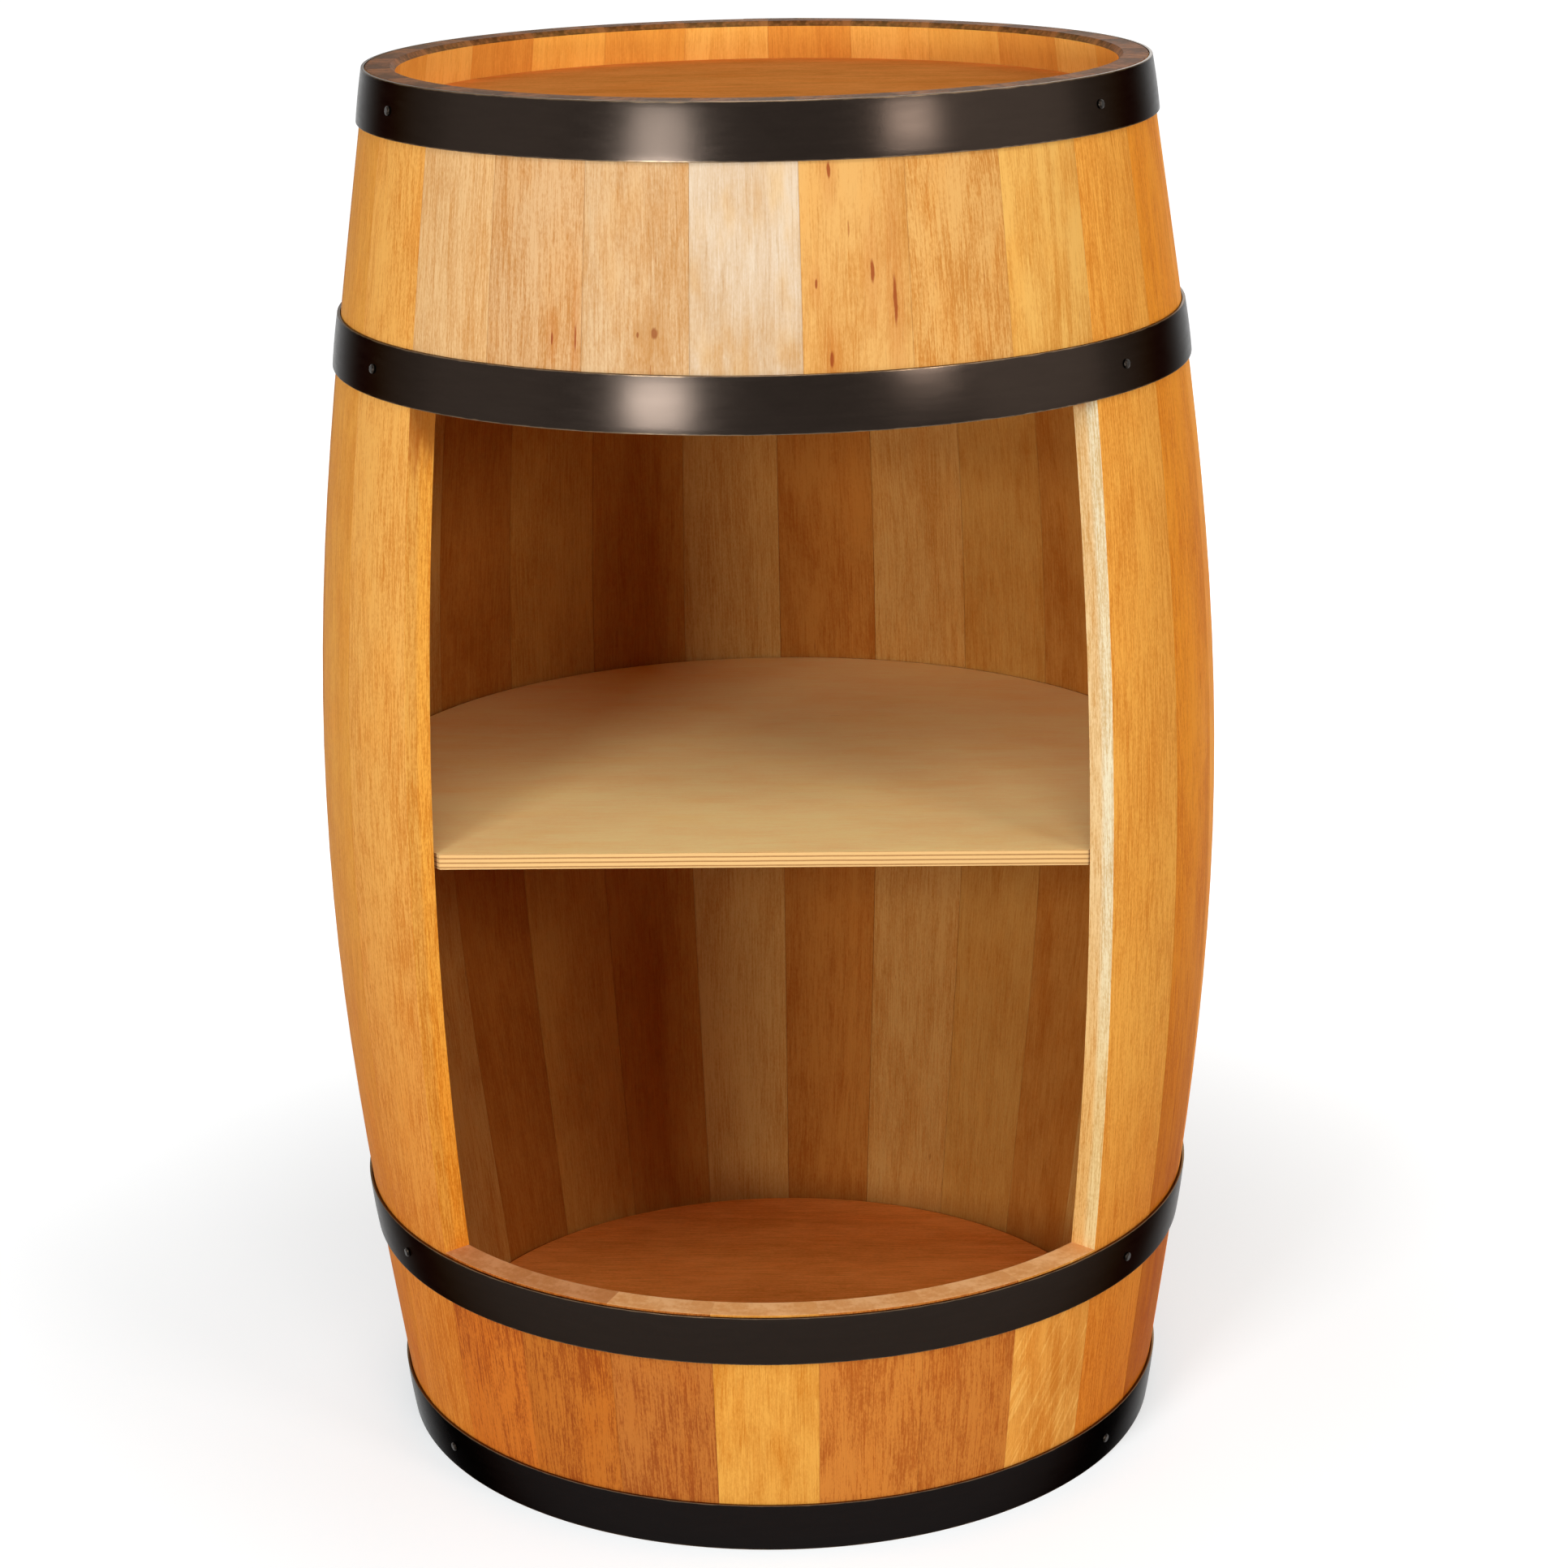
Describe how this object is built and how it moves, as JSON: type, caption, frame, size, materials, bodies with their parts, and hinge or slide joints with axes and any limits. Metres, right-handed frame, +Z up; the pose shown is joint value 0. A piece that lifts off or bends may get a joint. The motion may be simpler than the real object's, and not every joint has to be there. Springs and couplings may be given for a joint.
{
  "type": "barrel bar cabinet",
  "caption": "Coopered wooden barrel stood on end, its front cut away between steel hoops to make an open bar cabinet with a shelf for bottles.",
  "frame": {"origin": "on the floor, on the barrel's upright axis", "axes": "+Z up along the barrel's axis; the open front faces -Y; +X is to the right of someone facing it from the front"},
  "size_m": [0.5236, 0.5102, 0.81],
  "materials": {
    "stave_wood": "oiled, satin, honey",
    "head_wood": "oiled, matte, brown",
    "shelf_plywood": "sanded birch plywood",
    "cleat_wood": "sawn, bare",
    "hoop_steel": "satin black paint on flat steel",
    "fastener_steel": "black, worn bright on the crowns"
  },
  "bodies": {
    "root": {"stave_left_1": "stave_wood", "stave_left_2": "stave_wood", "stave_left_3": "stave_wood", "stave_left_4": "stave_wood", "stave_left_5": "stave_wood", "stave_left_6": "stave_wood", "stave_left_7": "stave_wood", "stave_left_8": "stave_wood", "stave_left_9": "stave_wood", "stave_right_1": "stave_wood", "stave_right_2": "stave_wood", "stave_right_3": "stave_wood", "stave_right_4": "stave_wood", "stave_right_5": "stave_wood", "stave_right_6": "stave_wood", "stave_right_7": "stave_wood", "stave_right_8": "stave_wood", "stave_right_9": "stave_wood", "upper_stave_1": "stave_wood", "upper_stave_2": "stave_wood", "upper_stave_3": "stave_wood", "upper_stave_4": "stave_wood", "upper_stave_5": "stave_wood", "upper_stave_6": "stave_wood", "upper_stave_7": "stave_wood", "lower_stave_1": "stave_wood", "lower_stave_2": "stave_wood", "lower_stave_3": "stave_wood", "lower_stave_4": "stave_wood", "lower_stave_5": "stave_wood", "lower_stave_6": "stave_wood", "lower_stave_7": "stave_wood", "hoop_top": "hoop_steel", "hoop_upper": "hoop_steel", "hoop_lower": "hoop_steel", "hoop_bottom": "hoop_steel", "nail_top_left": "fastener_steel", "rivet_top_left": "fastener_steel", "nail_top_right": "fastener_steel", "rivet_top_right": "fastener_steel", "nail_upper_left": "fastener_steel", "rivet_upper_left": "fastener_steel", "nail_upper_right": "fastener_steel", "rivet_upper_right": "fastener_steel", "nail_lower_left": "fastener_steel", "rivet_lower_left": "fastener_steel", "nail_lower_right": "fastener_steel", "rivet_lower_right": "fastener_steel", "nail_bottom_left": "fastener_steel", "rivet_bottom_left": "fastener_steel", "nail_bottom_right": "fastener_steel", "rivet_bottom_right": "fastener_steel", "top_head": "head_wood", "bottom_head": "head_wood", "shelf": "shelf_plywood", "shelf_cleat_left": "cleat_wood", "shelf_cleat_rear": "cleat_wood", "shelf_cleat_right": "cleat_wood"}
  },
  "joints": []
}
